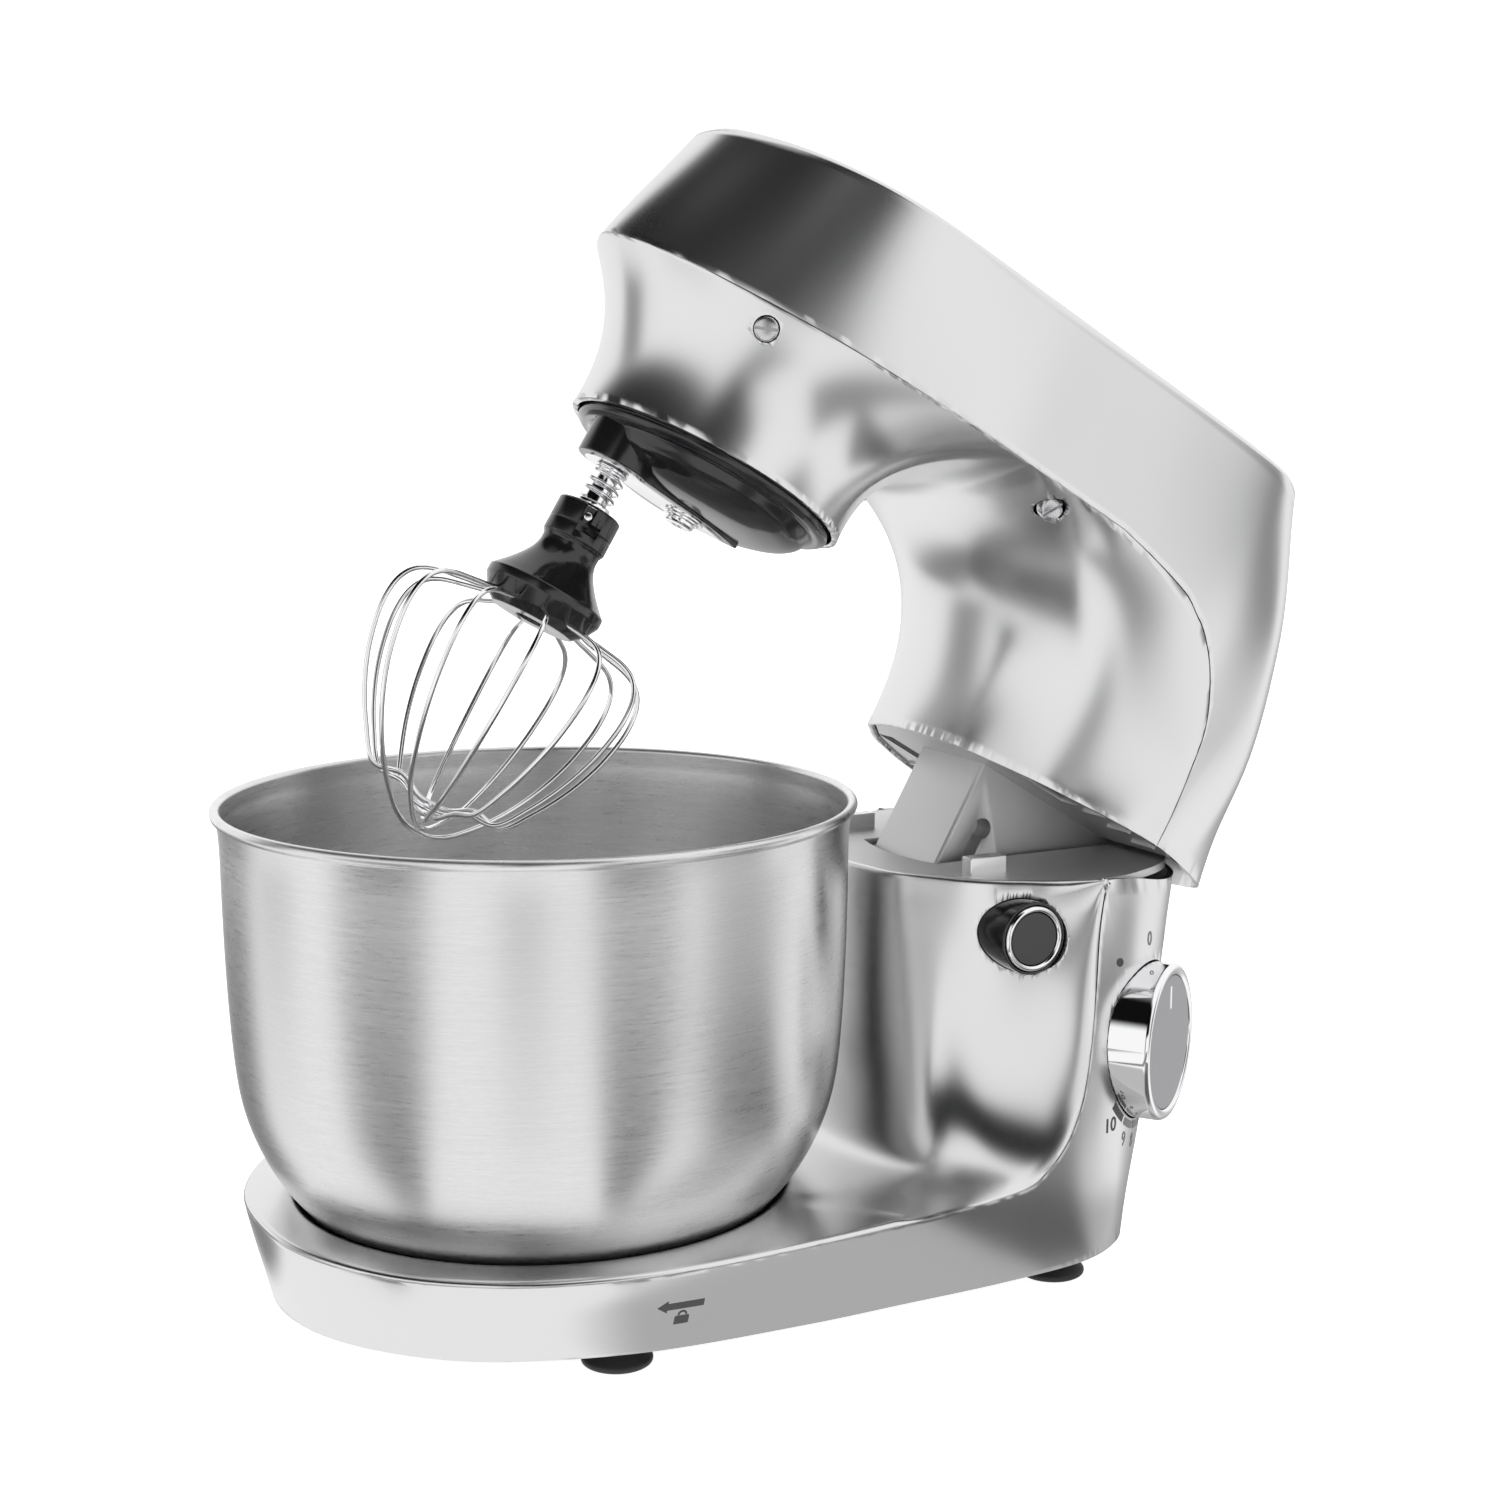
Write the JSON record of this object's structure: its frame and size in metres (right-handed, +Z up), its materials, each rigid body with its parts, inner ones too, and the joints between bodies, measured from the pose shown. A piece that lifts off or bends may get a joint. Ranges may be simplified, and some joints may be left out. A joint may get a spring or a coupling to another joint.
{
  "type": "tilt-head stand mixer",
  "caption": "Tilt-head kitchen stand mixer with a brushed steel bowl, wire whisk, planetary hub, lock button and speed dial, shown with its head raised.",
  "frame": {"origin": "centre of the bounding box at the floor, with the head open", "axes": "+Z up, +X from the bowl towards the column, +Y to the side away from the button and the dial"},
  "size_m": [0.4249, 0.2398, 0.4373],
  "materials": {
    "silver": "satin silver paint, metallic",
    "bowl_steel": "brushed around the axis",
    "steel": "plain steel",
    "chrome": "polished",
    "black": "gloss black",
    "dark": "matte dark",
    "grey": "satin grey",
    "rubber": "soft black rubber",
    "brass": "machined brass",
    "board": "green circuit board"
  },
  "bodies": {
    "base": {"base_skirt": "silver", "base_top": "silver", "base_plate": "dark", "foot_1": "rubber", "foot_2": "rubber", "foot_3": "rubber", "foot_4": "rubber", "column_cap": "silver", "hinge_bracket": "dark", "hinge_pin": "steel", "button_bezel": "black", "control_board": "board", "speed_switch": "dark", "lock_spring": "steel", "cord_gland": "rubber"},
    "button": {"button_cap": "black", "button_ring": "chrome", "lock_pin": "steel"},
    "dial": {"dial_barrel": "chrome", "dial_face": "grey"},
    "bowl": {"bowl_shell": "bowl_steel", "bowl_foot_ring": "black"},
    "head": {"head_cover": "silver", "head_housing": "silver", "neck_plate": "silver", "tilt_arm": "silver", "chassis_plate": "dark", "motor_stator": "dark", "motor_bearing": "steel", "brush_1": "dark", "brush_2": "dark", "ring_gear": "steel", "hub_bearing": "steel", "side_screw_1": "steel", "side_screw_2": "steel", "side_screw_3": "steel", "side_screw_4": "steel"},
    "rotor": {"rotor_shaft": "steel", "rotor_core": "steel", "commutator": "brass", "cooling_fan": "dark", "worm": "steel"},
    "hub": {"worm_wheel": "brass", "hub_shaft": "steel", "hub_carrier": "black", "hub_bridge": "chrome", "hub_screw": "chrome"},
    "whisk": {"planet_pinion": "steel", "drive_shaft": "chrome", "shaft_spring": "chrome", "whisk_hub": "black", "whisk_wire_1": "chrome", "whisk_wire_2": "chrome", "whisk_wire_3": "chrome", "whisk_wire_4": "chrome", "whisk_wire_5": "chrome", "whisk_wire_6": "chrome"}
  },
  "joints": [
    {"name": "head_tilt", "type": "hinge", "parent": "base", "child": "head", "pos_m": [0.141, 0, 0.1287], "axis": [0, -1, 0], "range_deg": [0, 31.4]},
    {"name": "button_press", "type": "slide", "parent": "base", "child": "button", "axis": [0, 1, 0], "range_m": [0, 0.004], "stiffness_N_per_m": 400},
    {"name": "dial_turn", "type": "hinge", "parent": "base", "child": "dial", "pos_m": [0.13863, -0.08668, 0.088], "axis": [0.5879, -0.8089, 0], "range_deg": [-250, 30]},
    {"name": "bowl_lock", "type": "hinge", "parent": "base", "child": "bowl", "pos_m": [-0.0925, 0, 0.02], "axis": [0, 0, 1], "range_deg": [0, 18]},
    {"name": "hub_spin", "type": "hinge", "parent": "head", "child": "hub", "pos_m": [-0.02204, 0, 0.30976], "axis": [0.521, 0, 0.8536], "continuous": true},
    {"name": "whisk_spin", "type": "hinge", "parent": "hub", "child": "whisk", "pos_m": [-0.05234, -0.0035, 0.32826], "axis": [0.521, 0, 0.8536], "continuous": true},
    {"name": "rotor_spin", "type": "hinge", "parent": "head", "child": "rotor", "pos_m": [0.01323, 0.0232, 0.36755], "axis": [0.8536, 0, -0.521], "continuous": true}
  ],
  "couplings": [
    {"joint": "whisk_spin", "follows": "hub_spin", "ratio": -5},
    {"joint": "rotor_spin", "follows": "hub_spin", "ratio": -24}
  ]
}
